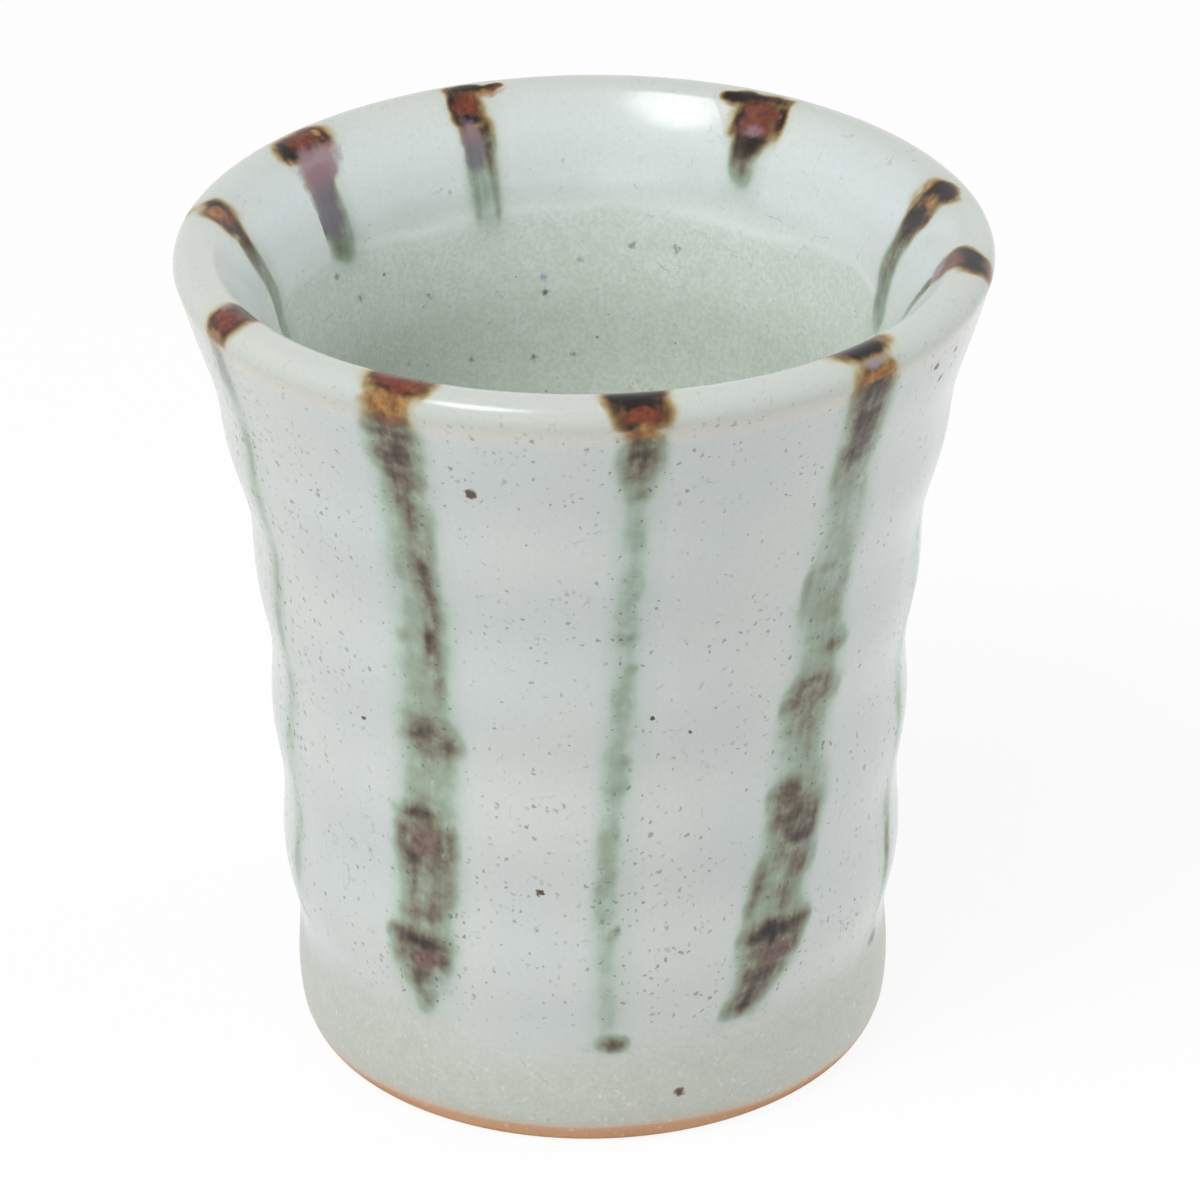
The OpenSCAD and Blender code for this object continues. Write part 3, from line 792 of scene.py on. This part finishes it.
def stroke_mesh(number, row):
    """Lays a fine sheet on the cup along a stroke, with edges that sink into the glaze."""
    turn, depth = math.radians(row[0]), usual_depth * row[5]
    low = down_at(usual_end_z * row[4], 1) + halo_w
    deep = down_at(cup_h - depth, -1) - halo_w
    bm = bmesh.new()
    names = ("down", "across", "iron", "rust", "amber", "plum_and_sheen", "halo")
    layers = [bm.verts.layers.float.new(name) for name in names]
    rows = [low] + [down for down in fine_downs if deep < down < low] + [deep]
    bmesh.ops.create_grid(bm, x_segments=40, y_segments=len(rows) - 1, size=1.0)
    for vert in bm.verts:
        down = rows[round((vert.co.y + 1) / 2 * (len(rows) - 1))]
        r, z = on_wall(down)
        half = stroke_half(row, down, z)
        half *= 1 + 0.13 * noise.noise(Vector((down * 0.12, number, math.copysign(3, vert.co.x))))
        margin = halo_w + 1.2 * math.exp(-((down + 0.8) / 1.8) ** 2)
        across = vert.co.x * (half + margin)
        angle = turn + (across + stroke_mid(row, z)) / max(r, 1)
        end_gap = min(low - down, down - deep)
        tip_gap = end_gap - 1.5 * (across / half) ** 2
        film = ease(min(half + margin - abs(across), end_gap), 0, 1.5)
        lift = base_lift(angle, down) + dip_lift(angle, down) + (proud + sink) * film - sink
        halo = (1 - ease(abs(across) - half, -0.9, halo_w - 0.6)) * ease(end_gap, 0.6, 3)
        ends, tail = ease(end_gap, 0.2, 2.2), ease(tip_gap, 0.5, 7)
        amounts = iron_load(number, row, across, half, down, z, ends, tail)
        for layer, value in zip(layers, [down, across] + amounts + [halo]):
            vert[layer] = value
        vert.co = hand_made(angle, *on_wall(down, lift))
    bm.normal_update()
    bmesh.ops.solidify(bm, geom=bm.faces[:], thickness=stroke_t * MM)
    bmesh.ops.recalc_face_normals(bm, faces=bm.faces)
    return bm


pigment, tree, place = new_material("iron_pigment")
surface = glaze_surface(tree, place)


def shown(name):
    """What a stroke's mesh says of a place, by name."""
    return put(tree, "Attribute", {}, attribute_name=name).outputs["Fac"]


def ramp(tree, factor, stops):
    """A colour ramp from a list of places and colours."""
    made = put(tree, "ValToRGB", {"Fac": factor})
    elements = made.color_ramp.elements
    while len(elements) < len(stops):
        elements.new(0.5)
    for element, (position, shade) in zip(elements, stops):
        element.position = position
        element.color = shade
    return made.outputs["Color"]


# Streaks along the brush and mottles break the iron up where it is neither bare nor heavy
iron = shown("iron")
brush_place = put(tree, "CombineXYZ", {0: shown("across"), 1: shown("down")}).outputs[0]
streak = mottle(tree, stretched(tree, brush_place, (0.8, 0.09, 1.0)), 1.0, 2)
grain = mottle(tree, place, 1.0, 5)
smudge = mottle(tree, place, 0.42, 3)
ragged = calc(tree, "MULTIPLY_ADD", smudge, 1.2, calc(tree, "MULTIPLY_ADD", grain, 0.5, -1.25))
ragged = calc(tree, "MULTIPLY_ADD", streak, 0.8, ragged)
room = calc(tree, "MULTIPLY", calc(tree, "MULTIPLY", iron, iron), calc(tree, "SUBTRACT", 1.2, iron))
room = calc(tree, "MULTIPLY_ADD", room, 3.4, calc(tree, "MULTIPLY", iron, 0.3))
rough_iron = calc(tree, "MULTIPLY_ADD", ragged, room, iron)

# On the wall iron is sea green where it is thin and grey-brown where it is thick
wall_iron = ramp(tree, rough_iron, [
    (0.08, colour(170, 185, 173)), (0.20, colour(149, 164, 148)), (0.35, colour(134, 139, 122)),
    (0.50, colour(115, 110, 94)), (0.64, colour(94, 85, 75)), (0.80, colour(72, 62, 55)),
    (1.0, colour(50, 45, 45))])

# On the lip, where the glaze runs thin, it goes from amber through brown to black
lip_iron = ramp(tree, rough_iron, [
    (0.06, colour(190, 189, 168)), (0.17, colour(158, 142, 100)), (0.30, colour(110, 86, 50)),
    (0.44, colour(62, 44, 28)), (0.60, colour(26, 18, 14)), (1.0, colour(14, 10, 9))])
down = shown("down")
on_lip = calc(tree, "MULTIPLY", fade(tree, down, 5.5, 2.8), fade(tree, down, -8.5, -4.0))
iron_colour = blend(tree, on_lip, wall_iron, lip_iron)
halo = shown("halo")
sea = blend(tree, calc(tree, "MULTIPLY", halo, 0.4), surface.outputs["Color"], colour(172, 189, 176))
cover = fade(tree, rough_iron, 0.0, 0.2)
base = blend(tree, cover, sea, iron_colour)

# Rust, amber and plum lie over it in ragged patches. The plum is partly the iron's own purple and partly a
# painted sheen: a painted reflection of the lamps, lilac on the outer lip.
blotch = mottle(tree, place, 0.6, 4)
uneven = calc(tree, "MULTIPLY_ADD", blotch, 1.2, -0.6)
rust = fade(tree, calc(tree, "ADD", shown("rust"), uneven), 0.25, 0.8)
rust_colour = ramp(tree, grain, [
    (0.3, colour(76, 35, 25)), (0.5, colour(106, 50, 34)), (0.7, colour(126, 66, 42))])
heart_colour = ramp(tree, grain, [(0.35, colour(94, 72, 66)), (0.65, colour(126, 104, 98))])
base = blend(tree, rust, base, blend(tree, on_lip, heart_colour, rust_colour))
amber = fade(tree, calc(tree, "ADD", shown("amber"), uneven), 0.2, 0.85)
amber_colour = ramp(tree, grain, [
    (0.36, colour(170, 128, 76)), (0.52, colour(148, 102, 58)), (0.66, colour(120, 78, 44))])
base = blend(tree, calc(tree, "MULTIPLY", amber, 0.85), base, amber_colour)
plum_and_sheen = fade(tree, calc(tree, "ADD", shown("plum_and_sheen"), uneven), 0.15, 0.85)
# Painted sheen: mauve near the crest inside and lilac on the outer lip stand in for the lamps' reflection;
# deeper inside it is the iron's own dark purple
plum_and_sheen_colour = blend(tree, fade(tree, down, -4.5, -7.5), colour(142, 115, 123), colour(108, 104, 114))
plum_and_sheen_colour = blend(tree, fade(tree, down, 0.0, 1.0), plum_and_sheen_colour, colour(140, 130, 146))
base = blend(tree, calc(tree, "MULTIPLY", plum_and_sheen, 0.88), base, plum_and_sheen_colour)
base = blend(tree, calc(tree, "MULTIPLY", surface.outputs["Fleck"], halo), base, colour(74, 80, 66))

iron_gloss = fade(tree, rust, 0.0, 1.0, 0.12, 0.26)
gloss = put(tree, "Mix", {0: cover, 2: surface.outputs["Roughness"], 3: iron_gloss}).outputs[0]
finish_material(tree, base, gloss, surface.outputs["Height"], 0.3)

for number, row in enumerate(strokes, 1):
    node = f"iron_stroke_{number:02d}"
    finish_piece(f"brushed_stroke_{number:02d}", stroke_mesh(number, row), pigment, node)


# The stage: a plain white floor that keeps the cup's shadow, white surroundings and soft lamps.
# The floor and the surroundings look white to the camera and in the glaze's reflections.
pure_white = (1.0, 1.0, 1.0, 1.0)


def seen_directly(tree):
    """1 for what the camera sees, straight or in a reflection, and 0 for plain light."""
    ray = put(tree, "LightPath", {}).outputs
    mirrored = calc(tree, "MAXIMUM", ray["Is Glossy Ray"], ray["Is Transmission Ray"])
    return calc(tree, "MAXIMUM", ray["Is Camera Ray"], mirrored)


floor_mesh = bmesh.new()
bmesh.ops.create_grid(floor_mesh, x_segments=1, y_segments=1, size=3.0)
floor_data = bpy.data.meshes.new("floor")
floor_mesh.to_mesh(floor_data)
floor_mesh.free()
floor = bpy.data.objects.new("floor", floor_data)
bpy.context.collection.objects.link(floor)
paper = bpy.data.materials.new("white_paper")
paper.use_nodes = True
tree = paper.node_tree
tree.nodes.clear()
matt = put(tree, "BsdfDiffuse", {"Color": (0.86, 0.86, 0.86, 1.0)})
white = put(tree, "Emission", {"Color": pure_white, "Strength": 1.0})
share = calc(tree, "MULTIPLY", seen_directly(tree), 0.9)
mixed = put(tree, "MixShader", {0: share, 1: matt.outputs[0], 2: white.outputs[0]})
put(tree, "OutputMaterial", {"Surface": mixed.outputs[0]})
floor_data.materials.append(paper)

world = bpy.data.worlds.new("white_room")
bpy.context.scene.world = world
world.use_nodes = True
tree = world.node_tree
tree.nodes.clear()
room_light = 0.52
level = calc(tree, "MULTIPLY_ADD", seen_directly(tree), 1.0 - room_light, room_light)
sky = put(tree, "Background", {"Color": pure_white, "Strength": level})
put(tree, "OutputWorld", {"Surface": sky.outputs[0]})

# A lamp overhead on the left with a large soft one round it, a weak one in front and one low on the right.
# Only the first and the weak one are seen in the glaze.
for name, way, size, power, mirrored in (("overhead_lamp", (-0.37, -0.4, 0.84), 0.4, 3.4, True),
                                         ("soft_lamp", (-0.4, -0.4, 0.82), 0.9, 5.0, False),
                                         ("front_lamp", (-0.3, -0.9, 0.5), 0.6, 0.35, True),
                                         ("side_lamp", (0.95, 0.2, 0.25), 0.6, 3.8, False)):
    lamp_data = bpy.data.lights.new(name, "AREA")
    lamp_data.shape = "DISK"
    lamp_data.size = size
    lamp_data.energy = power
    lamp = bpy.data.objects.new(name, lamp_data)
    lamp_from = Vector(way).normalized()
    lamp.location = Vector((0, 0, 0.05)) + lamp_from * 1.1
    lamp.rotation_mode = "QUATERNION"
    lamp.rotation_quaternion = lamp_from.to_track_quat("Z", "Y")
    lamp.visible_glossy = mirrored
    bpy.context.collection.objects.link(lamp)

# The camera looks down on the front of the cup, as in the photograph, and is tilted by a hair
view_target = Vector((1.26, 0, 47.78)) * MM
view_distance = 588 * MM
view_height = math.radians(28.06)
view_roll = math.radians(-0.72)
back = Vector((0, -math.cos(view_height), math.sin(view_height)))
level_right = Vector((1, 0, 0))
level_up = back.cross(level_right)
right = level_right * math.cos(view_roll) + level_up * math.sin(view_roll)
up = back.cross(right)
camera_data = bpy.data.cameras.new("camera")
camera_data.sensor_width = 36
camera_data.lens = 167.0
camera = bpy.data.objects.new("camera", camera_data)
turned = Matrix((right, up, back)).transposed().to_4x4()
camera.matrix_world = Matrix.Translation(view_target + back * view_distance) @ turned
bpy.context.collection.objects.link(camera)
bpy.context.scene.camera = camera
bpy.context.scene.view_settings.view_transform = "Standard"
